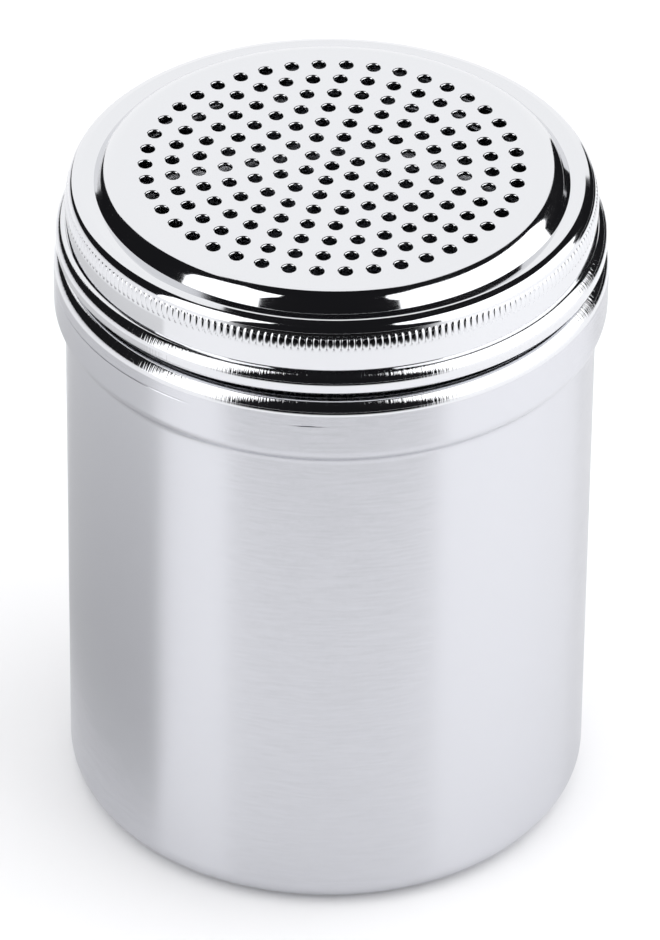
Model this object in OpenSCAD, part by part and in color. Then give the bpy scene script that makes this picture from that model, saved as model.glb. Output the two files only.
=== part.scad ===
// Screw-top sugar shaker: a drawn steel can, a threaded neck and a pierced lid that screws down on it.
// Sizes are in millimetres. The can stands on the plane Z = 0 and the Z axis runs up its middle.

/* [Can] */
// Outside diameter of the can's wall
can_d = 70; // [60:1:90]
// Height of the plain wall, from the table up to the collar's step
can_wall_h = 72.9; // [40:0.1:130]
// Outside radius of the rounded bottom corner
can_corner_r = 4; // [2:0.5:10]
// Thickness of the can's sheet
can_sheet = 0.5; // [0.4:0.05:0.8]

/* [Collar] */
// How far the collar stands out from the wall
collar_out = 1.5; // [1:0.1:3]
// Height of the sloping step between the wall and the collar
collar_step_h = 3; // [2.6:0.1:5]
// Height of the collar's straight band
collar_h = 5.6; // [3:0.1:12]
// Outside radius of the rounded shoulder above the collar
shoulder_r = 2; // [1.5:0.1:3]
// Width of the flat ring on top of the shoulder, which the neck's foot is welded under
shoulder_flat = 1.1; // [0.8:0.1:2]

/* [Neck] */
// Thickness of the neck's sheet
neck_sheet = 0.5; // [0.4:0.05:0.7]
// Open gap between the shoulder's inner edge and the neck
neck_gap = 0.7; // [0.6:0.1:1.5]
// Height of the mouth above the top of the shoulder
neck_h = 8.85; // [7.5:0.05:12]
// Width of the lip that is turned in round the mouth
lip_w = 1.4; // [1.1:0.1:2.5]

/* [Thread] */
// Rise of the lid in one turn
thread_pitch = 4; // [3.8:0.1:5]
// Height of the thread's ridge
thread_h = 0.85; // [0.5:0.05:0.9]
// Width of the ridge at its foot
thread_foot_w = 2.4; // [1.6:0.1:2.4]
// Width of the ridge at its crest
thread_crest_w = 1.4; // [0.8:0.1:1.4]
// Clearance between a ridge's crest and the wall that it faces
thread_gap = 0.35; // [0.3:0.05:0.6]
// Thickness of the threaded ring inside the lid
ring_sheet = 0.5; // [0.45:0.05:0.7]

/* [Lid] */
// Thickness of the lid's sheet
lid_sheet = 0.5; // [0.4:0.05:0.6]
// Height of the plateau above the groove at the foot of its step
plateau_rise = 2.05; // [1.8:0.05:5]
// Distance from the skirt in to the foot of the plateau's step
rim_w = 3.9; // [3.2:0.05:5]
// Lean of the plateau's step from upright, in degrees
step_lean = 40; // [10:1:45]
// Slope of the rim from the groove up to its crest, in degrees
rim_slope = 12; // [8:1:30]
// Fall of the rim from its crest out to its rounded edge, in degrees
rim_fall = 18; // [8:1:25]
// Straight width of that fall
rim_fall_w = 0.6; // [0.2:0.05:1]
// Outside radius of the rounded edge
rim_r = 1.3; // [0.9:0.1:2]
// Height of the leaning band under the rim, which carries the knurl
band_h = 2.9; // [2.5:0.1:4.5]
// Lean of that band from upright, in degrees
band_lean = 10; // [5:1:16]
// How far the hem's bead stands out from the skirt
hem_out = 1.3; // [1.2:0.05:2.5]
// Height of the hem's bead
hem_h = 3.1; // [3:0.1:4]
// Gap between the lid's hem and the can's shoulder when the lid is tight
hem_gap = 1; // [0.6:0.1:2]

/* [Holes] */
// Diameter of a hole
hole_d = 2; // [1:0.1:3]
// Distance from one ring of holes to the next
hole_pitch = 3.48; // [3.2:0.02:6]
// Plain border between the outermost holes and the edge of the plateau
hole_border = 3.5; // [3:0.1:8]

/* [Seal] */
// Thickness of the seal
seal_t = 0.6; // [0.5:0.1:1.5]
// Clearance between the seal and the lid above it
seal_gap = 0.25; // [0.2:0.05:0.6]
// Clearance between the seal and the lid's band round it
seal_side_gap = 0.45; // [0.4:0.05:1]

/* [Hidden] */
$fn = 96;

// Largest turn between two neighbouring points of a bend, in degrees
bend_step = 12;
// Largest turn between two neighbouring sections of a thread's ridge, in degrees
thread_step = 6;
// Turn over which a ridge grows to its full height at each end, in degrees
thread_run_in = 30;
// Share of a ridge's height at its very end
thread_end_share = 0.2;
// How much longer than the sheet a hole's cutter is, at each side
cutter_extra = 1;
// Share of a straight run that the bends at its two ends may take up
bend_share = 0.96;
// Share of the plateau's step that its upper bend takes up
step_bend_share = 0.5;

// Fall of the rim from its crest to the corner that the rounded edge takes off
rim_crest_bend_r = 0.3;
rim_crest_run = rim_crest_bend_r * tan((rim_slope + rim_fall) / 2);
rim_edge_run = (rim_r - lid_sheet / 2) * tan((90 - band_lean - rim_fall) / 2);
rim_run = rim_crest_run + rim_fall_w + rim_edge_run;

// Radii, outwards from the neck to the lid's hem
collar_r = can_d / 2 + collar_out;
shoulder_flat_r = collar_r - shoulder_r;
shoulder_edge_r = shoulder_flat_r - shoulder_flat;
neck_r = shoulder_edge_r - neck_gap;
lip_in_r = neck_r - lip_w;
ring_in_r = neck_r + thread_h + thread_gap;
ring_out_r = ring_in_r + ring_sheet;
skirt_r = ring_out_r + lid_sheet;
step_foot_r = skirt_r - rim_w;
plateau_r = step_foot_r - plateau_rise * tan(step_lean);
rim_corner_r = skirt_r - lid_sheet / 2 - band_h * tan(band_lean);
rim_crest_r = rim_corner_r - rim_run * cos(rim_fall);
hem_r = skirt_r + hem_out;

// Heights, up from the table to the plateau
collar_z = can_wall_h + collar_step_h;
shoulder_z = collar_z + collar_h + shoulder_r;
hem_z = shoulder_z + hem_gap;
lip_z = shoulder_z + neck_h;
groove_z = lip_z + seal_t + seal_gap + lid_sheet;
plateau_z = groove_z + plateau_rise;
rim_crest_z = groove_z - lid_sheet / 2 + (rim_crest_r - step_foot_r) * tan(rim_slope);
rim_corner_z = rim_crest_z - rim_run * sin(rim_fall);
band_z = rim_corner_z - band_h;

// Bend radii, at the middle of the sheet
neck_foot_bend_r = 0.6;
lip_bend_r = 0.5;
plateau_bend_r = step_bend_share * plateau_rise / cos(step_lean) / tan(45 - step_lean / 2);
groove_bend_r = 0.3;
band_bend_r = 5;
hem_root_bend_r = 0.3;
hem_foot_bend_r = 0.55;

// Collar's step: two equal bends that meet halfway
step_turn = 2 * atan(collar_out / collar_step_h);
step_full_r = collar_step_h / (2 * sin(step_turn));
step_bend_r = bend_share * step_full_r;
step_corner = step_full_r * tan(step_turn / 2);

// Hem's bead: a slope out from the skirt, one wide bend down and a short turn back in
hem_lean = 15;
hem_turn_in = 0.95;
hem_slope = hem_out / cos(hem_lean);
hem_drop = hem_h - lid_sheet - hem_out * tan(hem_lean) - hem_foot_bend_r;
hem_bend_r = bend_share * min(hem_slope, hem_drop) / tan(45 - hem_lean / 2) - hem_root_bend_r;

// Threaded ring inside the lid, and the ridges' middle lines
ring_foot = 0.7;
ring_top_gap = 0.2;
ring_z = hem_z + ring_foot;
ring_top_z = band_z - band_bend_r * tan(band_lean / 2) - ring_top_gap;
ridge_low_gap = 0.6;
neck_ridge_z = shoulder_z + ridge_low_gap + thread_foot_w / 2;
neck_ridge_top_z = lip_z - neck_sheet / 2 - lip_bend_r - thread_foot_w / 2;
lid_ridge_z = ring_z + thread_foot_w / 2;
lid_ridge_top_z = ring_top_z - thread_foot_w / 2;

// Angle at which the lid's ridge, half a pitch below the neck's, reaches its own first height
lid_ridge_start = 360 * (lid_ridge_z - neck_ridge_z + thread_pitch / 2) / thread_pitch;

// Seal: clear of the leaning band at its own top edge
seal_r = skirt_r - lid_sheet - (lip_z + seal_t - band_z) * tan(band_lean) - seal_side_gap;

// Rings of holes that fit on the plateau inside its border
hole_rings = floor((plateau_r - hole_border - hole_d / 2) / hole_pitch);

function unit(v) = v / norm(v);
function left(v) = [-v[1], v[0]];
function turned(v, a) = [v[0] * cos(a) - v[1] * sin(a), v[0] * sin(a) + v[1] * cos(a)];
function turn(a, b) = atan2(a[0] * b[1] - a[1] * b[0], a * b);

// Arc round one corner of a sheet's path, moved off the middle line by "off" to the left
function bend(p, q, s, r, off) =
    let (d = unit(q - p))
    let (angle = turn(d, unit(s - q)))
    let (way = sign(angle))
    let (centre = q - d * r * tan(abs(angle) / 2) + left(d) * way * r)
    let (steps = max(2, ceil(abs(angle) / bend_step)))
    [for (i = [0 : steps]) centre - way * (r - way * off) * turned(left(d), angle * i / steps)];

// One face of a sheet that follows a path of corners, each corner with its own bend radius
function sheet_face(path, radii, off) =
    let (last = len(path) - 1)
    let (d0 = unit(path[1] - path[0]))
    let (d1 = unit(path[last] - path[last - 1]))
    let (bends = [
        for (i = [1 : 1 : last - 1])
            for (p = bend(path[i - 1], path[i], path[i + 1], radii[i - 1], off)) p
    ])
    concat([path[0] + left(d0) * off], bends, [path[last] + left(d1) * off]);

function backwards(list) = [for (i = [len(list) - 1 : -1 : 0]) list[i]];

// Turned sheet-metal shell, from a path in radius and height along the middle of the sheet
module sheet_shell(path, radii, thick) {
    rotate_extrude()
        polygon(concat(sheet_face(path, radii, thick / 2), backwards(sheet_face(path, radii, -thick / 2))));
}

// Helical ridge on a round wall: side is 1 on the outside of a wall and -1 on the inside
module thread_ridge(wall_r, sheet, side, z0, z1, start) {
    angle = 360 * (z1 - z0) / thread_pitch;
    steps = ceil(angle / thread_step);
    foot_r = wall_r - side * sheet / 2;
    sections = [
        for (i = [0 : steps])
            let (a = angle * i / steps)
            let (z = z0 + (z1 - z0) * i / steps)
            let (grown = min(1, min(a, angle - a) / thread_run_in))
            let (crest_r = wall_r + side * thread_h * (thread_end_share + (1 - thread_end_share) * grown))
            for (c = [
                [foot_r, -thread_foot_w / 2],
                [crest_r, -thread_crest_w / 2],
                [crest_r, thread_crest_w / 2],
                [foot_r, thread_foot_w / 2]
            ])
                [c[0] * cos(start + a), c[0] * sin(start + a), z + c[1]]
    ];
    sides = [
        for (i = [0 : steps - 1])
            for (j = [0 : 3])
                let (k = (j + 1) % 4)
                let (low = 4 * i)
                let (high = low + 4)
                for (f = [[low + j, high + j, high + k], [low + j, high + k, low + k]]) f
    ];
    end = 4 * steps;
    caps = [[0, 1, 2], [0, 2, 3], [end + 2, end + 1, end], [end + 3, end + 2, end]];
    faces = concat(sides, caps);
    polyhedron(sections, side < 0 ? faces : [for (f = faces) backwards(f)]);
}

// Drawn can: bottom, wall, stepped-out collar and rounded shoulder from one sheet
module can_body() {
    mid = can_sheet / 2;
    color("#c6c8cd")
        sheet_shell(
            [
                [0, mid],
                [can_d / 2 - mid, mid],
                [can_d / 2 - mid, can_wall_h + step_corner],
                [collar_r - mid, collar_z - step_corner],
                [collar_r - mid, shoulder_z - mid],
                [shoulder_edge_r, shoulder_z - mid]
            ],
            [can_corner_r - mid, step_bend_r, step_bend_r, shoulder_r - mid],
            can_sheet
        );
}

// Neck: a flanged tube welded under the shoulder, with a lip round the mouth and a rolled thread
module neck_ring() {
    mid = neck_sheet / 2;
    foot_z = shoulder_z - can_sheet - mid;
    color("#b9bbc0")
        union() {
            sheet_shell(
                [
                    [shoulder_flat_r, foot_z],
                    [neck_r - mid, foot_z],
                    [neck_r - mid, lip_z - mid],
                    [lip_in_r, lip_z - mid]
                ],
                [neck_foot_bend_r, lip_bend_r],
                neck_sheet
            );
            thread_ridge(neck_r, neck_sheet, 1, neck_ridge_z, neck_ridge_top_z, 0);
        }
}

// Lid: plateau with its holes, step, rim with its crest, leaning band, skirt and hem bead from one sheet
module lid_cap() {
    mid = lid_sheet / 2;
    skirt_mid_r = skirt_r - mid;
    hem_mid_r = hem_r - mid;
    groove_mid_z = groove_z - mid;
    hem_root_z = hem_z + hem_h - mid;
    color("#d8d9dc")
        difference() {
            sheet_shell(
                [
                    [0, plateau_z - mid],
                    [plateau_r, plateau_z - mid],
                    [step_foot_r, groove_mid_z],
                    [rim_crest_r, rim_crest_z],
                    [rim_corner_r, rim_corner_z],
                    [skirt_mid_r, band_z],
                    [skirt_mid_r, hem_root_z],
                    [hem_mid_r, hem_root_z - hem_out * tan(hem_lean)],
                    [hem_mid_r, hem_z + mid],
                    [hem_mid_r - hem_turn_in, hem_z + mid]
                ],
                [
                    plateau_bend_r,
                    groove_bend_r,
                    rim_crest_bend_r,
                    rim_r - mid,
                    band_bend_r,
                    hem_root_bend_r,
                    hem_bend_r,
                    hem_foot_bend_r
                ],
                lid_sheet
            );
            holes();
        }
}

// Cutters for the holes: one in the middle, then rings of six, twelve, eighteen and so on
module holes() {
    translate([0, 0, plateau_z - lid_sheet - cutter_extra])
        for (ring = [0 : hole_rings]) {
            count = max(1, 6 * ring);
            for (i = [0 : count - 1])
                rotate(360 * i / count)
                    translate([ring * hole_pitch, 0, 0])
                        cylinder(d = hole_d, h = lid_sheet + 2 * cutter_extra, $fn = 32);
        }
}

// Threaded ring welded inside the lid's skirt, so that the skirt stays smooth outside
module lid_thread_ring() {
    color("#aeb0b5")
        union() {
            translate([0, 0, ring_z])
                difference() {
                    cylinder(r = ring_out_r, h = ring_top_z - ring_z);
                    translate([0, 0, -cutter_extra])
                        cylinder(r = ring_in_r, h = ring_top_z - ring_z + 2 * cutter_extra);
                }
            thread_ridge(ring_in_r, ring_sheet, -1, lid_ridge_z, lid_ridge_top_z, lid_ridge_start);
        }
}

// Flat washer in the lid, pressed on the lip when the lid is tight
module lid_seal() {
    color("#ecebe6")
        translate([0, 0, lip_z])
            difference() {
                cylinder(r = seal_r, h = seal_t);
                translate([0, 0, -cutter_extra])
                    cylinder(r = lip_in_r, h = seal_t + 2 * cutter_extra);
            }
}

can_body();
neck_ring();
lid_cap();
lid_thread_ring();
lid_seal();
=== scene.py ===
# Screw-top sugar shaker in stainless steel: turned sheet shells, a pierced and knurled lid, a small studio
import math

import bpy
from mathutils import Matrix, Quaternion, Vector
from mathutils.geometry import delaunay_2d_cdt


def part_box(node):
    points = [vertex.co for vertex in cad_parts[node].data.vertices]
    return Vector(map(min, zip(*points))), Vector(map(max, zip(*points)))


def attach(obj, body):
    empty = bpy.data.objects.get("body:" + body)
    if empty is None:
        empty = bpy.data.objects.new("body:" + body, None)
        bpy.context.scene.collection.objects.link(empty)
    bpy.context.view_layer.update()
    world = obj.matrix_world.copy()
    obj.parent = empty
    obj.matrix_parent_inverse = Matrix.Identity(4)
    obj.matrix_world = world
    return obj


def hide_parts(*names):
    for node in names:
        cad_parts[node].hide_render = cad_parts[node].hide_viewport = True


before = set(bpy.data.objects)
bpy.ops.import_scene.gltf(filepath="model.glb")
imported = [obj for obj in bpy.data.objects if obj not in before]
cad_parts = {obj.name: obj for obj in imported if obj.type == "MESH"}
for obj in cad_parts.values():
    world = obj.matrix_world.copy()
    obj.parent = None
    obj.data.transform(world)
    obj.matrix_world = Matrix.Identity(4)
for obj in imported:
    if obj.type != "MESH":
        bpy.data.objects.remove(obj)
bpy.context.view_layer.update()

mm = 0.001  # sizes below are millimetres, Blender's own are metres
tiny = 1e-6  # points closer than this are one
scene = bpy.context.scene


def sizeOf(node):  # outer radius, foot and top of a round CAD node
    low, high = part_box(node)
    return high.x / mm, low.z / mm, high.z / mm


def smooth(x):  # eases from 0 to 1
    x = min(1, max(0, x))
    return x * x * (3 - 2 * x)


# Materials

noiseSpan = {"From Min": 0.3, "From Max": 0.7}  # most of a noise texture lies between these


def linear(hexColour):  # sRGB hex to the linear colour that Blender's sockets take
    parts = [int(hexColour[i:i + 2], 16) / 255 for i in (1, 3, 5)]
    return [p / 12.92 if p <= 0.04045 else ((p + 0.055) / 1.055) ** 2.4 for p in parts] + [1]


def addNode(tree, kind, settings=None, links=None):  # settings are attributes or sockets, links feed sockets
    node = tree.nodes.new(kind)
    for name, value in (settings or {}).items():
        if isinstance(name, str) and hasattr(node, name):
            setattr(node, name, value)
        else:
            node.inputs[name].default_value = value
    for name, source in (links or {}).items():
        tree.links.new(source, node.inputs[name])
    return node


def newMaterial(name):
    material = bpy.data.materials.new(name)
    material.use_nodes = True
    material.node_tree.nodes.clear()
    return material, material.node_tree


def perMetre(sizeMm):  # texture scale that gives a pattern of this size
    return 1 / (sizeMm * mm)


def brushedStainless():  # sheet brushed round the axis: streaks light up and down, stays crisp sideways
    look = {
        "colour": "#cfd0d5",
        "roughness": 0.23,
        "roughSpread": 0.03,
        "lineMm": 0.3,  # real brush lines are about 0.05 mm apart, drawn coarser so that they show
        "lineRunMm": 4,
        "grainMm": 0.5,
        "grainShare": 0.4,  # the lines have the rest
        "bumpMm": 0.003,
        "streakTurn": 0.25,  # a quarter turn, across the brush lines
    }
    material, tree = newMaterial("brushedStainless")
    place = addNode(tree, "ShaderNodeTexCoord").outputs["Object"]
    run = perMetre(look["lineRunMm"])
    stretched = addNode(tree, "ShaderNodeMapping", {"Scale": (run, run, perMetre(look["lineMm"]))},
                        {"Vector": place})
    lines = addNode(tree, "ShaderNodeTexNoise", {"Scale": 1, "Detail": 2, "Roughness": 0.6},
                    {"Vector": stretched.outputs[0]})
    grain = addNode(tree, "ShaderNodeTexNoise",
                    {"Scale": perMetre(look["grainMm"]), "Detail": 3, "Roughness": 0.7}, {"Vector": place})
    both = addNode(tree, "ShaderNodeMix", {"data_type": "FLOAT", "Factor": look["grainShare"]},
                   {"A": lines.outputs["Fac"], "B": grain.outputs["Fac"]})
    rough = addNode(tree, "ShaderNodeMapRange", {
        **noiseSpan,
        "To Min": look["roughness"] - look["roughSpread"],
        "To Max": look["roughness"] + look["roughSpread"],
    }, {"Value": both.outputs[0]})
    bump = addNode(tree, "ShaderNodeBump", {"Strength": 1, "Distance": look["bumpMm"] * mm},
                   {"Height": both.outputs[0]})
    around = addNode(tree, "ShaderNodeTangent", {"direction_type": "RADIAL", "axis": "Z"})
    steel = addNode(tree, "ShaderNodeBsdfPrincipled", {
        "Base Color": linear(look["colour"]),
        "Metallic": 1,
        "Anisotropic": 1,
        "Anisotropic Rotation": look["streakTurn"],
    }, {"Roughness": rough.outputs[0], "Normal": bump.outputs[0], "Tangent": around.outputs[0]})
    addNode(tree, "ShaderNodeOutputMaterial", None, {"Surface": steel.outputs[0]})
    return material


def polishedStainless():  # buffed after pressing: almost a clear mirror, hazed a little where it is handled
    look = {
        "colour": "#d9dadd",
        "clear": 0.045,
        "hazy": 0.11,
        "smudgeMm": 14,
        "buffMm": 0.6,  # real buffing marks are finer, drawn coarser so that they show
        "buffRunMm": 9,
        "hazeSpan": {"From Min": 0.18, "From Max": 0.42},  # most of two noises multiplied lies between these
    }
    material, tree = newMaterial("polishedStainless")
    place = addNode(tree, "ShaderNodeTexCoord").outputs["Object"]
    smudge = addNode(tree, "ShaderNodeTexNoise",
                     {"Scale": perMetre(look["smudgeMm"]), "Detail": 4, "Roughness": 0.6}, {"Vector": place})
    run = perMetre(look["buffRunMm"])
    stretched = addNode(tree, "ShaderNodeMapping", {"Scale": (run, run, perMetre(look["buffMm"]))},
                        {"Vector": place})
    buff = addNode(tree, "ShaderNodeTexNoise", {"Scale": 1, "Detail": 3, "Roughness": 0.6},
                   {"Vector": stretched.outputs[0]})
    both = addNode(tree, "ShaderNodeMath", {"operation": "MULTIPLY"},
                   {0: smudge.outputs["Fac"], 1: buff.outputs["Fac"]})
    rough = addNode(tree, "ShaderNodeMapRange",
                    {**look["hazeSpan"], "To Min": look["clear"], "To Max": look["hazy"]},
                    {"Value": both.outputs[0]})
    steel = addNode(tree, "ShaderNodeBsdfPrincipled", {"Base Color": linear(look["colour"]), "Metallic": 1},
                    {"Roughness": rough.outputs[0]})
    addNode(tree, "ShaderNodeOutputMaterial", None, {"Surface": steel.outputs[0]})
    return material


def rolledStainless():  # polished sheet bent by a roller: fine ripples across the bend fray its reflections
    look = {
        "colour": "#d9dadd",
        "clear": 0.05,
        "hazy": 0.12,
        "rippleMm": 0.4,
        "rippleDeepMm": 0.022,
        "radiusMm": 36,  # of the hem and the shoulder, because the ripples run by angle
        "hazeSpan": {"From Min": 0.35, "From Max": 0.7},
    }
    material, tree = newMaterial("rolledStainless")
    place = addNode(tree, "ShaderNodeTexCoord").outputs["Object"]
    axes = addNode(tree, "ShaderNodeSeparateXYZ", None, {0: place})
    angle = addNode(tree, "ShaderNodeMath", {"operation": "ARCTAN2"},
                    {0: axes.outputs["Y"], 1: axes.outputs["X"]})
    ripple = addNode(tree, "ShaderNodeTexNoise", {
        "noise_dimensions": "1D",
        "Scale": look["radiusMm"] / look["rippleMm"],
        "Detail": 2,
        "Roughness": 0.6,
    }, {"W": angle.outputs[0]})
    rough = addNode(tree, "ShaderNodeMapRange",
                    {**look["hazeSpan"], "To Min": look["clear"], "To Max": look["hazy"]},
                    {"Value": ripple.outputs["Fac"]})
    bump = addNode(tree, "ShaderNodeBump", {"Strength": 1, "Distance": look["rippleDeepMm"] * mm},
                   {"Height": ripple.outputs["Fac"]})
    steel = addNode(tree, "ShaderNodeBsdfPrincipled", {"Base Color": linear(look["colour"]), "Metallic": 1},
                    {"Roughness": rough.outputs[0], "Normal": bump.outputs[0]})
    addNode(tree, "ShaderNodeOutputMaterial", None, {"Surface": steel.outputs[0]})
    return material


def drawnStainless():  # sheet as it left the press: soft satin with upright draw marks, never polished
    look = {
        "colour": "#c4c5ca",
        "roughness": 0.27,
        "roughSpread": 0.06,
        "markMm": 0.5,
        "markRunMm": 6,
    }
    material, tree = newMaterial("drawnStainless")
    place = addNode(tree, "ShaderNodeTexCoord").outputs["Object"]
    across = perMetre(look["markMm"])
    stretched = addNode(tree, "ShaderNodeMapping", {"Scale": (across, across, perMetre(look["markRunMm"]))},
                        {"Vector": place})
    marks = addNode(tree, "ShaderNodeTexNoise", {"Scale": 1, "Detail": 3, "Roughness": 0.6},
                    {"Vector": stretched.outputs[0]})
    rough = addNode(tree, "ShaderNodeMapRange", {
        **noiseSpan,
        "To Min": look["roughness"] - look["roughSpread"],
        "To Max": look["roughness"] + look["roughSpread"],
    }, {"Value": marks.outputs["Fac"]})
    steel = addNode(tree, "ShaderNodeBsdfPrincipled", {"Base Color": linear(look["colour"]), "Metallic": 1},
                    {"Roughness": rough.outputs[0]})
    addNode(tree, "ShaderNodeOutputMaterial", None, {"Surface": steel.outputs[0]})
    return material


def siliconeRubber():  # moulded and dusted: milky, soft-edged light, no gloss
    look = {
        "colour": "#e9e7e0",
        "shade": "#dcd9d0",
        "roughness": 0.55,
        "ior": 1.41,
        "mottleMm": 3,
        "throughMm": 0.8,  # how far light spreads inside it
        "throughShare": 0.3,
    }
    material, tree = newMaterial("siliconeRubber")
    place = addNode(tree, "ShaderNodeTexCoord").outputs["Object"]
    mottle = addNode(tree, "ShaderNodeTexNoise", {"Scale": perMetre(look["mottleMm"]), "Detail": 3},
                     {"Vector": place})
    colour = addNode(tree, "ShaderNodeMix",
                     {"data_type": "RGBA", "A": linear(look["shade"]), "B": linear(look["colour"])},
                     {"Factor": mottle.outputs["Fac"]})
    rubber = addNode(tree, "ShaderNodeBsdfPrincipled", {
        "Roughness": look["roughness"],
        "IOR": look["ior"],
        "Subsurface Weight": look["throughShare"],
        "Subsurface Scale": look["throughMm"] * mm,
    }, {"Base Color": colour.outputs["Result"]})
    addNode(tree, "ShaderNodeOutputMaterial", None, {"Surface": rubber.outputs[0]})
    return material


finishes = {make.__name__: make() for make in (
    brushedStainless, polishedStainless, rolledStainless, drawnStainless, siliconeRubber)}
print("finishes:", ", ".join(finishes))

# Turned sheet: a path along the middle of the sheet becomes a closed, smooth shell

turned = {
    "turns": 240,  # columns round
    "bendStep": 7,  # degrees between the points of a bend
    "bendLeast": 3,  # steps in the shortest bend
    "edgeSteps": 6,  # round a cut edge
    "straight": 0.9,  # a run is straight if the normals at its ends agree by this much
    "nudge": 1e-3,  # step that measures a swell's slope
}

# parts of a normal that tell faces from each other
wallFrom = 0.99  # out or in by more: an upright wall
outsideFrom = 0.5  # out by more: the outer face
undersideFrom = -0.2  # down by more: an underside


def left(v):  # a quarter turn to the left
    return Vector((-v.y, v.x))


def swung(v, angle):
    c = math.cos(angle)
    s = math.sin(angle)
    return Vector((v.x * c - v.y * s, v.x * s + v.y * c))


def bentSheet(corners, bends):  # middle line in radius and height, with its left-hand normals
    points = [Vector(c) for c in corners]
    line = [(points[0], left((points[1] - points[0]).normalized()))]
    for before, corner, after, radius in zip(points, points[1:], points[2:], bends):
        ahead = (corner - before).normalized()
        onward = (after - corner).normalized()
        turn = math.atan2(ahead.x * onward.y - ahead.y * onward.x, ahead.dot(onward))
        side = math.copysign(1, turn)
        centre = corner - ahead * radius * math.tan(abs(turn) / 2) + left(ahead) * side * radius
        steps = max(turned["bendLeast"], math.ceil(abs(math.degrees(turn)) / turned["bendStep"]))
        for i in range(steps + 1):
            normal = swung(left(ahead), turn * i / steps)
            line.append((centre - normal * side * radius, normal))
    line.append((points[-1], left((points[-1] - points[-2]).normalized())))
    return line


def filled(line, low, high, gap):  # adds points to the straight runs between two heights
    out = [line[0]]
    for (p, n), (q, m) in zip(line, line[1:]):
        between = max(p.y, q.y) > low and min(p.y, q.y) < high
        if between and (p - q).length > gap and n.dot(m) > turned["straight"]:
            steps = math.ceil((q - p).length / gap)
            out += [(p.lerp(q, i / steps), n.lerp(m, i / steps).normalized()) for i in range(1, steps)]
        out.append((q, m))
    return out


def roundEdge(point, normal, outward, half):  # half circle round the cut edge of a sheet
    edge = []
    for i in range(1, turned["edgeSteps"]):
        angle = math.pi * i / turned["edgeSteps"]
        n = normal * math.cos(angle) + outward * math.sin(angle)
        edge.append((point + n * half, n))
    return edge


def sheetFaces(line, thick, openStart):  # both faces and the rounded edges, in order round the section
    half = thick / 2
    line = list(line)
    end, endNormal = line[-1]
    away = -left(endNormal)
    line[-1] = (end - away * half, endNormal)
    start, startNormal = line[0]
    back = left(startNormal)
    if not openStart:
        line[0] = (start - back * half, startNormal)
    loop = [(p + n * half, n) for p, n in line]
    loop += roundEdge(line[-1][0], endNormal, away, half)
    loop += [(p - n * half, -n) for p, n in reversed(line)]
    if not openStart:
        loop += roundEdge(line[0][0], -startNormal, back, half)
    return loop


def newShell():
    return {"points": [], "normals": [], "faces": [], "finish": []}


def addPoint(shell, point, normal):
    shell["points"].append(point)
    shell["normals"].append(normal)
    return len(shell["points"]) - 1


def addFace(shell, corners, finish):
    shell["faces"].append(corners)
    shell["finish"].append(finish)


def addStrip(shell, a, b, finish):  # joins two rings, which may differ in count
    if len(a) == 1:  # a fan round a point on the axis
        for here, after in zip(b, b[1:] + b[:1]):
            addFace(shell, [a[0], here, after], finish)
        return
    if len(b) == 1:
        for here, after in zip(a, a[1:] + a[:1]):
            addFace(shell, [b[0], after, here], finish)
        return
    count = min(len(a), len(b))
    stepA = len(a) // count
    stepB = len(b) // count
    for j in range(count):
        ahead = [b[(j * stepB + i) % len(b)] for i in range(stepB + 1)]
        behind = [a[(j * stepA + i) % len(a)] for i in range(stepA, -1, -1)]
        addFace(shell, ahead + behind, finish)


def addRing(shell, point, normal, count, swell):  # swell(angle, height) is how far the ring is pushed out
    r, z = point
    if r < tiny:
        return [addPoint(shell, (0, 0, z), (0, 0, normal.y))]
    small = turned["nudge"]
    ring = []
    for j in range(count):
        angle = 2 * math.pi * j / count
        push = turnSlope = riseSlope = 0
        if swell:
            push = swell(angle, z)
            turnSlope = (swell(angle + small, z) - swell(angle - small, z)) / (2 * small)
            riseSlope = (swell(angle, z + small) - swell(angle, z - small)) / (2 * small)
        c = math.cos(angle)
        s = math.sin(angle)
        out = normal.x
        side = -normal.x * turnSlope / (r + push)
        up = normal.y - normal.x * riseSlope
        n = Vector((out * c - side * s, out * s + side * c, up)).normalized()
        ring.append(addPoint(shell, ((r + push) * c, (r + push) * s, z), n))
    return ring


# pick(point, normal) gives a strip's finish, work(point, normal) gives how fine a ring is and its swell
def addTurned(shell, loop, closed, pick=None, work=None):
    rings = []
    for point, normal in loop:
        fine, swell = work(point, normal) if work else (1, None)
        rings.append(addRing(shell, point, normal, turned["turns"] * fine, swell))
    pairs = list(zip(rings, rings[1:]))
    spots = list(zip(loop, loop[1:]))
    if closed:
        pairs.append((rings[-1], rings[0]))
        spots.append((loop[-1], loop[0]))
    for (a, b), ((p, n), (q, m)) in zip(pairs, spots):
        addStrip(shell, a, b, pick((p + q) / 2, (n + m) / 2) if pick else 0)
    return rings


def makePiece(name, shell, looks, node, body):
    mesh = bpy.data.meshes.new(name)
    mesh.from_pydata([[x * mm for x in p] for p in shell["points"]], [], shell["faces"])
    for look in looks:
        mesh.materials.append(finishes[look])
    mesh.polygons.foreach_set("material_index", shell["finish"])
    mesh.shade_smooth()
    mesh.normals_split_custom_set_from_vertices(shell["normals"])
    piece = bpy.data.objects.new(name, mesh)
    scene.collection.objects.link(piece)
    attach(piece, body)
    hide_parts(node)
    print(f"{name}: {len(shell['faces'])} faces on {body}")


# Can: bottom, brushed wall, stepped-out collar with a roller's line in arcs round it, polished shoulder

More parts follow.
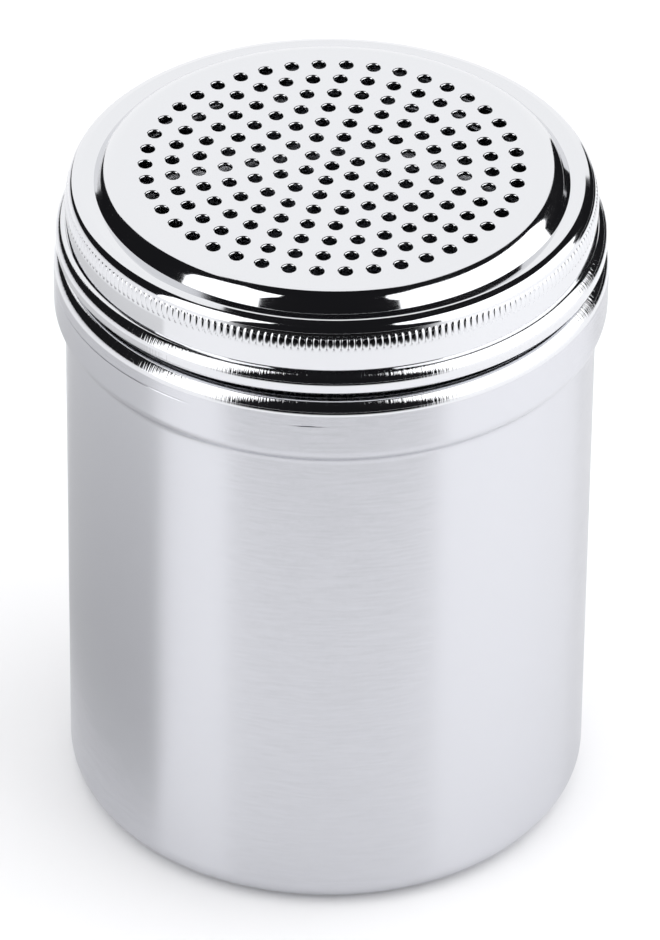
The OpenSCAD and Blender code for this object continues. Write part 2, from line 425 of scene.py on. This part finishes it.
canBody = {
    "sheet": 0.5,
    "cornerBend": 4,
    "collarOut": 1.5,
    "stepHeight": 3,
    "stepBendShare": 0.999,  # the step's two bends just don't meet
    "collarHeight": 5.6,
    "shoulderBend": 2,
    "shoulderFlat": 1.1,
    "lineHeight": 80,  # line that the roller left here and there round the collar
    "lineWide": 0.34,
    "lineDeep": 0.07,
    "lineArcs": [(30, 75), (118, 140), (172, 224), (244, 253)],  # degrees from +X
    "lineFade": 5,  # degrees at each end of an arc
    "lineStep": 0.06,  # between the rings that draw it
    "polishFrom": 81.6,  # the shoulder above this is polished
}


def makeCan(d):
    collarRadius, _, top = sizeOf("can_body")
    half = d["sheet"] / 2
    wall = collarRadius - d["collarOut"]
    collarFoot = top - d["shoulderBend"] - d["collarHeight"]
    stepTurn = 2 * math.atan(d["collarOut"] / d["stepHeight"])
    stepRadius = d["stepHeight"] / (2 * math.sin(stepTurn))
    stepCorner = stepRadius * math.tan(stepTurn / 2)
    stepBend = stepRadius * d["stepBendShare"]
    line = bentSheet(
        [
            (0, half),
            (wall - half, half),
            (wall - half, collarFoot - d["stepHeight"] + stepCorner),
            (collarRadius - half, collarFoot - stepCorner),
            (collarRadius - half, top - half),
            (collarRadius - d["shoulderBend"] - d["shoulderFlat"], top - half),
        ],
        [d["cornerBend"] - half, stepBend, stepBend, d["shoulderBend"] - half])
    line = filled(line, d["lineHeight"] - d["lineWide"], d["lineHeight"] + d["lineWide"], d["lineStep"])

    def groove(angle, z):
        turn = math.degrees(angle)
        fade = d["lineFade"]
        shown = max(smooth((turn - first) / fade) * smooth((last - turn) / fade)
                    for first, last in d["lineArcs"])
        return -d["lineDeep"] * shown * smooth(1 - abs(z - d["lineHeight"]) / (d["lineWide"] / 2))

    def work(point, normal):
        near = abs(point.y - d["lineHeight"]) < d["lineWide"] and normal.x > wallFrom
        return 1, groove if near else None

    def pick(point, normal):
        return 1 if point.y > d["polishFrom"] and normal.y > undersideFrom else 0

    shell = newShell()
    addTurned(shell, sheetFaces(line, d["sheet"], True), False, pick, work)
    makePiece("canBody", shell, ["brushedStainless", "rolledStainless"], "can_body", "can")


makeCan(canBody)

# Threads: a ridge rolled along a helix, fading in at both ends

thread = {
    "pitch": 4,
    "high": 0.85,
    "wide": 2.4,
    "crest": 1.25,  # over 1 flattens the ridge's crest
    "runIn": 30,  # degrees
    "laps": range(-2, 4),  # turns that are searched for the ridge
    "step": 0.2,  # between the rings that draw it
}


def threadSwell(low, high, start, size):  # low and high are the ridge's first and last heights
    total = 2 * math.pi * (high - low) / thread["pitch"]
    runIn = math.radians(thread["runIn"])

    def swell(angle, z):
        most = 0
        for lap in thread["laps"]:
            along = angle - start + 2 * math.pi * lap
            if 0 <= along <= total:
                grown = smooth(min(along, total - along) / runIn)
                middle = low + thread["pitch"] * along / (2 * math.pi)
                ridge = smooth(thread["crest"] * (1 - abs(z - middle) / (thread["wide"] / 2)))
                most = max(most, grown * ridge)
        return size * most

    return swell


# Neck: flanged tube under the shoulder, rolled thread, lip turned in round the mouth

neckRing = {
    "sheet": 0.5,
    "footBend": 0.6,
    "footWide": 1.8,
    "lipBend": 0.5,
    "lipWide": 1.4,
    "ridgeGap": 0.6,  # from the shoulder up to the thread
    "plainFoot": 1,  # the tube's ends, where no thread is drawn
    "plainTop": 0.8,
}


def makeNeck(d):  # returns the height at which the thread starts
    footRadius, foot, top = sizeOf("neck_ring")
    shoulder = sizeOf("can_body")[2]
    half = d["sheet"] / 2
    tube = footRadius - d["footWide"]
    line = bentSheet(
        [
            (footRadius, foot + half),
            (tube - half, foot + half),
            (tube - half, top - half),
            (tube - d["lipWide"], top - half),
        ],
        [d["footBend"], d["lipBend"]])
    line = filled(line, foot + d["plainFoot"], top - d["plainTop"], thread["step"])
    low = shoulder + d["ridgeGap"] + thread["wide"] / 2
    high = top - half - d["lipBend"] - thread["wide"] / 2
    swell = threadSwell(low, high, 0, thread["high"])

    def work(point, normal):  # rolled from inside, so both faces swell
        return 1, swell if abs(normal.x) > wallFrom else None

    shell = newShell()
    addTurned(shell, sheetFaces(line, d["sheet"], False), True, None, work)
    makePiece("neckRing", shell, ["drawnStainless"], "neck_ring", "can")
    return low


neckRidge = makeNeck(neckRing)

# Lid: pierced plateau, step, groove, rounded rim, knurled band, skirt and hem bead

lidCap = {
    "sheet": 0.5,
    "plateauRise": 2.05,
    "stepLean": 40,  # degrees from upright
    "stepBendShare": 0.5,  # of the step's length, for its upper bend
    "grooveBend": 0.3,
    "rimWide": 3.9,
    "rimSlope": 12,  # degrees up to the crest
    "crestBend": 0.3,
    "crestFlat": 0.6,
    "rimFall": 18,  # degrees from the crest out to the rounded edge
    "rimBend": 1.3,
    "bandHigh": 2.9,  # leaning band under the rim, which carries the knurl
    "bandLean": 10,
    "bandBend": 5,
    "hemOut": 1.3,
    "hemHigh": 3.1,
    "hemLean": 15,  # degrees that its top slopes down
    "hemTurnIn": 0.95,
    "hemRootBend": 0.3,
    "hemBendShare": 0.96,  # of the slope, for its two bends
    "hemFootBend": 0.55,
    "knurlTop": 0.8,  # both below the rim's corner, where slope and band meet
    "knurlFoot": 2.92,
    "knurlRidges": 240,
    "knurlHigh": 0.12,
    "knurlColumns": 8,  # for each column of a plain ring
    "knurlStep": 0.2,  # between the rings that draw it
    "knurlEdge": 0.15,  # fine rings go on this far past it
    "holeWide": 2,
    "holePitch": 3.48,
    "holeRings": 7,
    "holesMore": 6,  # each ring has this many more than the one inside it
    "holeSteps": 20,
    "holeDip": 0.12,  # the punch draws the sheet down beside the hole
    "holeDipLean": 21,
    "holeDipBend": 0.25,  # share of the dip in which the flat bends down
    "holeRoll": 0.15,
    "holeRollSteps": 4,
    "holePull": 0.1,
    "holeBurr": 0.04,
}


def punchedEdge(d, top):  # section of a hole's edge from the top face down: radius, height, normal
    lean = math.radians(d["holeDipLean"])
    dip = d["holeDip"]
    bend = d["holeDipBend"]
    roll = d["holeRoll"]
    burr = d["holeBurr"]
    r = d["holeWide"] / 2 - d["holePull"]
    low = top - d["sheet"]
    middle = top - dip * math.tan(lean) - roll * math.cos(lean)
    dipEnd = r + roll * (1 - math.sin(lean))
    section = [
        (dipEnd + dip, top, 0, 1),
        (dipEnd + dip * (1 - bend), top - dip * bend * math.tan(lean), -math.sin(lean), math.cos(lean)),
    ]
    for i in range(d["holeRollSteps"] + 1):
        a = lean + (math.pi / 2 - lean) * i / d["holeRollSteps"]
        c = math.cos(a)
        s = math.sin(a)
        section.append((r + roll * (1 - s), middle + roll * c, -s, c))
    for a in (0, math.pi / 2):
        c = math.cos(a)
        s = math.sin(a)
        section.append((r + burr * (1 - c), low + burr * (1 - s), -c, -s))
    return section


def addHole(shell, x, y, section, steps):  # returns the rings that the top and lower faces meet
    rings = []
    for r, z, out, up in section:
        ring = []
        for j in range(steps):
            c = math.cos(2 * math.pi * j / steps)
            s = math.sin(2 * math.pi * j / steps)
            ring.append(addPoint(shell, (x + r * c, y + r * s, z), (out * c, out * s, up)))
        rings.append(ring)
    for upper, lower in zip(rings, rings[1:]):
        addStrip(shell, lower, upper, 0)
    return rings[0], rings[-1]


def addPierced(shell, border, holes, flip):  # fills the flat face between a border ring and the holes
    spots = []
    owner = []  # the border is 0
    edges = []
    for which, ring in enumerate([border] + holes):
        first = len(spots)
        spots += ring
        owner += [which] * len(ring)
        edges += [(first + j, first + (j + 1) % len(ring)) for j in range(len(ring))]
    flat = [Vector(shell["points"][i][:2]) for i in spots]
    _, _, faces, origins, _, _ = delaunay_2d_cdt(flat, edges, [], 0, tiny)
    for face in faces:
        corners = [origins[i][0] for i in face]
        if len({owner[i] for i in corners}) > 1 or owner[corners[0]] == 0:  # else it lies in a hole
            corners = [spots[i] for i in corners]
            addFace(shell, corners[::-1] if flip else corners, 0)


def makeLid(d):
    hemRadius, foot, top = sizeOf("lid_cap")
    half = d["sheet"] / 2
    skirt = hemRadius - d["hemOut"]
    stepFoot = skirt - d["rimWide"]
    lean = math.radians(d["stepLean"])
    plateauBend = d["stepBendShare"] * d["plateauRise"] / math.cos(lean) / math.tan(math.pi / 4 - lean / 2)
    groove = top - d["plateauRise"] - half
    rimRadius = skirt - half - d["bandHigh"] * math.tan(math.radians(d["bandLean"]))
    slope = math.radians(d["rimSlope"])
    fall = math.radians(d["rimFall"])
    rimTurn = math.radians(90 - d["bandLean"] - d["rimFall"])
    rimBack = (d["rimBend"] - half) * math.tan(rimTurn / 2)
    crestBack = d["crestBend"] * math.tan((slope + fall) / 2)
    rimRun = rimBack + crestBack + d["crestFlat"]
    crestRadius = rimRadius - rimRun * math.cos(fall)
    crest = groove + (crestRadius - stepFoot) * math.tan(slope)
    rimCorner = crest - rimRun * math.sin(fall)
    hemRoot = foot + d["hemHigh"] - half
    hemDrop = d["hemOut"] * math.tan(math.radians(d["hemLean"]))
    hemRun = min(d["hemOut"] / math.cos(math.radians(d["hemLean"])),
                 d["hemHigh"] - d["sheet"] - hemDrop - d["hemFootBend"])
    hemBend = d["hemBendShare"] * hemRun / math.tan(math.radians(45 - d["hemLean"] / 2)) - d["hemRootBend"]
    flatRadius = d["holeRings"] * d["holePitch"] + d["holeWide"]
    knurlTop = rimCorner - d["knurlTop"]
    knurlFoot = rimCorner - d["knurlFoot"]
    line = bentSheet(
        [
            (flatRadius, top - half),
            (stepFoot - d["plateauRise"] * math.tan(lean), top - half),
            (stepFoot, groove),
            (crestRadius, crest),
            (rimRadius, rimCorner),
            (skirt - half, rimCorner - d["bandHigh"]),
            (skirt - half, hemRoot),
            (hemRadius - half, hemRoot - hemDrop),
            (hemRadius - half, foot + half),
            (hemRadius - half - d["hemTurnIn"], foot + half),
        ],
        [plateauBend, d["grooveBend"], d["crestBend"], d["rimBend"] - half, d["bandBend"],
         d["hemRootBend"], hemBend, d["hemFootBend"]])
    line = filled(line, knurlFoot, knurlTop, d["knurlStep"])

    def knurl(angle, z):  # a ring of oval grains
        along = 2 * (z - knurlFoot) / (knurlTop - knurlFoot) - 1
        across = 2 * (angle * d["knurlRidges"] / (2 * math.pi) % 1) - 1
        return d["knurlHigh"] * max(0, 1 - (along ** 2 + across ** 2) ** 2)

    def work(point, normal):
        inBand = knurlFoot - d["knurlEdge"] < point.y < knurlTop + d["knurlEdge"]
        return (d["knurlColumns"], knurl) if inBand and normal.x > outsideFrom else (1, None)

    def pick(point, normal):
        return 1 if point.y < hemRoot else 0

    shell = newShell()
    rings = addTurned(shell, sheetFaces(line, d["sheet"], True), False, pick, work)
    section = punchedEdge(d, top)
    upper = []
    lower = []
    for ring in range(d["holeRings"] + 1):
        count = max(1, d["holesMore"] * ring)
        for i in range(count):
            angle = 2 * math.pi * i / count
            x = ring * d["holePitch"] * math.cos(angle)
            y = ring * d["holePitch"] * math.sin(angle)
            over, under = addHole(shell, x, y, section, d["holeSteps"])
            upper.append(over)
            lower.append(under)
    addPierced(shell, rings[0], upper, False)
    addPierced(shell, rings[-1], lower, True)
    makePiece("lidCap", shell, ["polishedStainless", "rolledStainless"], "lid_cap", "lid")


makeLid(lidCap)

# Threaded ring inside the skirt

lidThreadRing = {"sheet": 0.5}


def makeThreadRing(d):
    outer, foot, top = sizeOf("lid_thread_ring")
    half = d["sheet"] / 2
    line = filled(bentSheet([(outer - half, foot), (outer - half, top)], []), foot, top, thread["step"])
    low = foot + thread["wide"] / 2
    high = top - thread["wide"] / 2
    apart = low - neckRidge + thread["pitch"] / 2  # half a pitch under the neck's ridge
    start = 2 * math.pi * apart / thread["pitch"]
    swell = threadSwell(low, high, start, -thread["high"])

    def work(point, normal):  # the outer face stays plain against the skirt
        return 1, swell if normal.x < -wallFrom else None

    shell = newShell()
    addTurned(shell, sheetFaces(line, d["sheet"], False), True, None, work)
    makePiece("lidThreadRing", shell, ["drawnStainless"], "lid_thread_ring", "lid")


makeThreadRing(lidThreadRing)

# Seal: flat washer with soft edges

lidSeal = {"edge": 0.15, "inner": 31.3, "edgeSteps": 4}


def makeSeal(d):
    outer, foot, top = sizeOf("lid_seal")
    edge = d["edge"]
    inner = d["inner"] + edge
    outer = outer - edge
    high = top - edge
    low = foot + edge
    loop = []
    for r, z, first in ((inner, high, 180), (outer, high, 90), (outer, low, 0), (inner, low, -90)):
        for i in range(d["edgeSteps"] + 1):
            a = math.radians(first - 90 * i / d["edgeSteps"])
            n = Vector((math.cos(a), math.sin(a)))
            loop.append((Vector((r, z)) + n * edge, n))
    shell = newShell()
    addTurned(shell, loop, True)
    makePiece("lidSeal", shell, ["siliconeRubber"], "lid_seal", "seal")


makeSeal(lidSeal)

# Studio: pale floor, a tent of lit sheets, a soft light overhead and black cloths that only reflections meet

camera = {
    "bearing": -17.3,  # degrees round from the front
    "rise": 35.8,
    "roll": 0.65,
    "distance": 1031,
    "aimHeight": 46.9,
    "aimSide": 0.15,
    "focalPixels": 7695,  # in the photograph's 660 x 940 frame
    "tallPixels": 940,
    "sensor": 36,
    "clip": 50,
}


def outFrom(turn, rise):  # unit direction from the shaker, in degrees right of the camera's bearing and up
    a = math.radians(camera["bearing"] + turn)
    e = math.radians(rise)
    return Vector((math.sin(a) * math.cos(e), -math.cos(a) * math.cos(e), math.sin(e)))


def addCamera(d):
    data = bpy.data.cameras.new("photoCamera")
    data.sensor_width = d["sensor"]
    data.lens = d["focalPixels"] / d["tallPixels"] * d["sensor"]
    data.clip_start = d["clip"] * mm
    lens = bpy.data.objects.new("photoCamera", data)
    scene.collection.objects.link(lens)
    back = outFrom(0, d["rise"])
    aim = Vector((0, 0, d["aimHeight"])) + outFrom(90, 0) * d["aimSide"]
    lens.location = (aim + back * d["distance"]) * mm
    roll = Quaternion((0, 0, 1), math.radians(d["roll"]))
    lens.rotation_mode = "QUATERNION"
    lens.rotation_quaternion = (-back).to_track_quat("-Z", "Y") @ roll
    scene.camera = lens


def addStage(name, points, faces, material):
    mesh = bpy.data.meshes.new(name)
    mesh.from_pydata([[x * mm for x in p] for p in points], [], faces)
    mesh.materials.append(material)
    stage = bpy.data.objects.new(name, mesh)
    scene.collection.objects.link(stage)
    return stage


floor = {"colour": "#f4f4f5", "roughness": 0.6, "roughSpread": 0.1, "radius": 6000, "dustMm": 40}


def addFloor(d):  # painted board: matt, with a little dust
    material, tree = newMaterial("paintedBoard")
    place = addNode(tree, "ShaderNodeTexCoord").outputs["Object"]
    dust = addNode(tree, "ShaderNodeTexNoise", {"Scale": perMetre(d["dustMm"]), "Detail": 2},
                   {"Vector": place})
    rough = addNode(tree, "ShaderNodeMapRange",
                    {"To Min": d["roughness"], "To Max": d["roughness"] + d["roughSpread"]},
                    {"Value": dust.outputs["Fac"]})
    paint = addNode(tree, "ShaderNodeBsdfPrincipled", {"Base Color": linear(d["colour"])},
                    {"Roughness": rough.outputs[0]})
    addNode(tree, "ShaderNodeOutputMaterial", None, {"Surface": paint.outputs[0]})
    r = d["radius"]
    addStage("floor", [(-r, -r, 0), (r, -r, 0), (r, r, 0), (-r, r, 0)], [(0, 1, 2, 3)], material)


def grid(columns, rows):  # faces of a sheet of points laid row by row
    wide = columns + 1
    return [(i * wide + j, i * wide + j + 1, i * wide + j + 1 + wide, i * wide + j + wide)
            for i in range(rows) for j in range(columns)]


tent = {"radius": 900, "middle": 90, "columns": 16}  # dome that the lit sheets lie on

# each edge is a rise, then the sheet's left and right ends there, all in degrees; a glow of 1 is white
sheets = [
    {
        "name": "leftSheet",
        "glow": 2.0,
        "edges": [(-5, -72, -40), (15, -72, -39), (35, -75, -37), (48, -82, -36), (60, -88, -35),
                  (70, -88, -42)],
    },
    {
        "name": "rightSheet",
        "glow": 2.0,
        "edges": [(-5, 44, 114), (15, 44, 116), (30, 41, 130), (42, 35, 140), (52, 34, 124), (62, 38, 106),
                  (70, 50, 90)],
    },
    {
        "name": "backSheet",
        "glow": 1.2,
        "edges": [(-5, 157, 205), (12, 156, 219), (28, 155, 231), (45, 155, 234), (65, 158, 232)],
    },
]


def addSheet(d):
    material, tree = newMaterial(d["name"])
    light = addNode(tree, "ShaderNodeEmission", {"Strength": d["glow"]})
    addNode(tree, "ShaderNodeOutputMaterial", None, {"Surface": light.outputs[0]})
    points = []
    for rise, first, last in d["edges"]:
        for j in range(tent["columns"] + 1):
            turn = first + (last - first) * j / tent["columns"]
            points.append(outFrom(turn, rise) * tent["radius"] + Vector((0, 0, tent["middle"])))
    sheet = addStage(d["name"], points, grid(tent["columns"], len(d["edges"]) - 1), material)
    sheet.visible_camera = False


overhead = {"height": 1700, "wide": 2600, "glow": 0.25}


def addOverhead(d):
    light = bpy.data.lights.new("overhead", "AREA")
    light.size = d["wide"] * mm
    light.energy = d["glow"] * math.pi * light.size ** 2  # watts that give this glow
    lamp = bpy.data.objects.new("overhead", light)
    scene.collection.objects.link(lamp)
    lamp.location = (0, 0, d["height"] * mm)
    lamp.visible_camera = False
    lamp.visible_glossy = False  # it whitens the floor and stays out of the steel


# span and soft are degrees; aside is how far the side edges pass from the shaker's axis
cloths = [
    {"name": "frontCloth", "span": (-46, 48), "aside": 0, "soft": 16, "dense": 1,
     "reach": (195, 3000), "fadeIn": 170, "fadeOut": 600},
    {"name": "leftCloth", "span": (-156, -76), "aside": 21.7, "soft": 2, "dense": 0.37,
     "reach": (35, 190), "fadeIn": 25, "fadeOut": 60},
    {"name": "rightCloth", "span": (116, 153), "aside": 0, "soft": 4, "dense": 1,
     "reach": (240, 3000), "fadeIn": 90, "fadeOut": 600},
]
clothSheet = {"colour": "#0c0c0d", "lift": 1, "columns": 40, "rows": 24}


def addCloth(d):  # black cloth that only the steel sees, thinning out at its edges
    material, tree = newMaterial(d["name"])
    cover = addNode(tree, "ShaderNodeAttribute", {"attribute_name": "cover"})
    clear = addNode(tree, "ShaderNodeBsdfTransparent")
    black = addNode(tree, "ShaderNodeBsdfDiffuse", {"Color": linear(clothSheet["colour"])})
    both = addNode(tree, "ShaderNodeMixShader", None,
                   {0: cover.outputs["Fac"], 1: clear.outputs[0], 2: black.outputs[0]})
    addNode(tree, "ShaderNodeOutputMaterial", None, {"Surface": both.outputs[0]})
    columns = clothSheet["columns"]
    rows = clothSheet["rows"]
    first, last = d["span"]
    inner, outer = d["reach"]
    points = []
    covers = []
    for i in range(rows + 1):
        r = inner * (outer / inner) ** (i / rows)
        along = d["dense"] * smooth((r - inner) / d["fadeIn"]) * smooth((outer - r) / d["fadeOut"])
        shift = math.degrees(math.asin(d["aside"] / r))
        for j in range(columns + 1):
            turn = first + (last - first) * j / columns
            out = outFrom(turn + shift, 0) * r
            points.append((out.x, out.y, clothSheet["lift"]))
            covers.append(along * smooth((turn - first) / d["soft"]) * smooth((last - turn) / d["soft"]))
    sheet = addStage(d["name"], points, grid(columns, rows), material)
    sheet.data.attributes.new("cover", "FLOAT", "POINT").data.foreach_set("value", covers)
    sheet.visible_camera = False
    sheet.visible_diffuse = False
    sheet.visible_shadow = False


room = {"pale": "#f6f6f7", "dark": "#1c1c1e"}


def addWorld(d):  # a room that is dark in the steel's reflections and pale for everything else
    world = bpy.data.worlds.new("room")
    world.use_nodes = True
    tree = world.node_tree
    mirrored = addNode(tree, "ShaderNodeLightPath").outputs["Is Glossy Ray"]
    colour = addNode(tree, "ShaderNodeMix",
                     {"data_type": "RGBA", "A": linear(d["pale"]), "B": linear(d["dark"])},
                     {"Factor": mirrored})
    tree.links.new(colour.outputs["Result"], tree.nodes["Background"].inputs["Color"])
    scene.world = world


addCamera(camera)
addFloor(floor)
for sheet in sheets:
    addSheet(sheet)
addOverhead(overhead)
for cloth in cloths:
    addCloth(cloth)
addWorld(room)
scene.view_settings.view_transform = "Standard"
print("studio:", ", ".join(d["name"] for d in sheets + cloths), "and overhead")
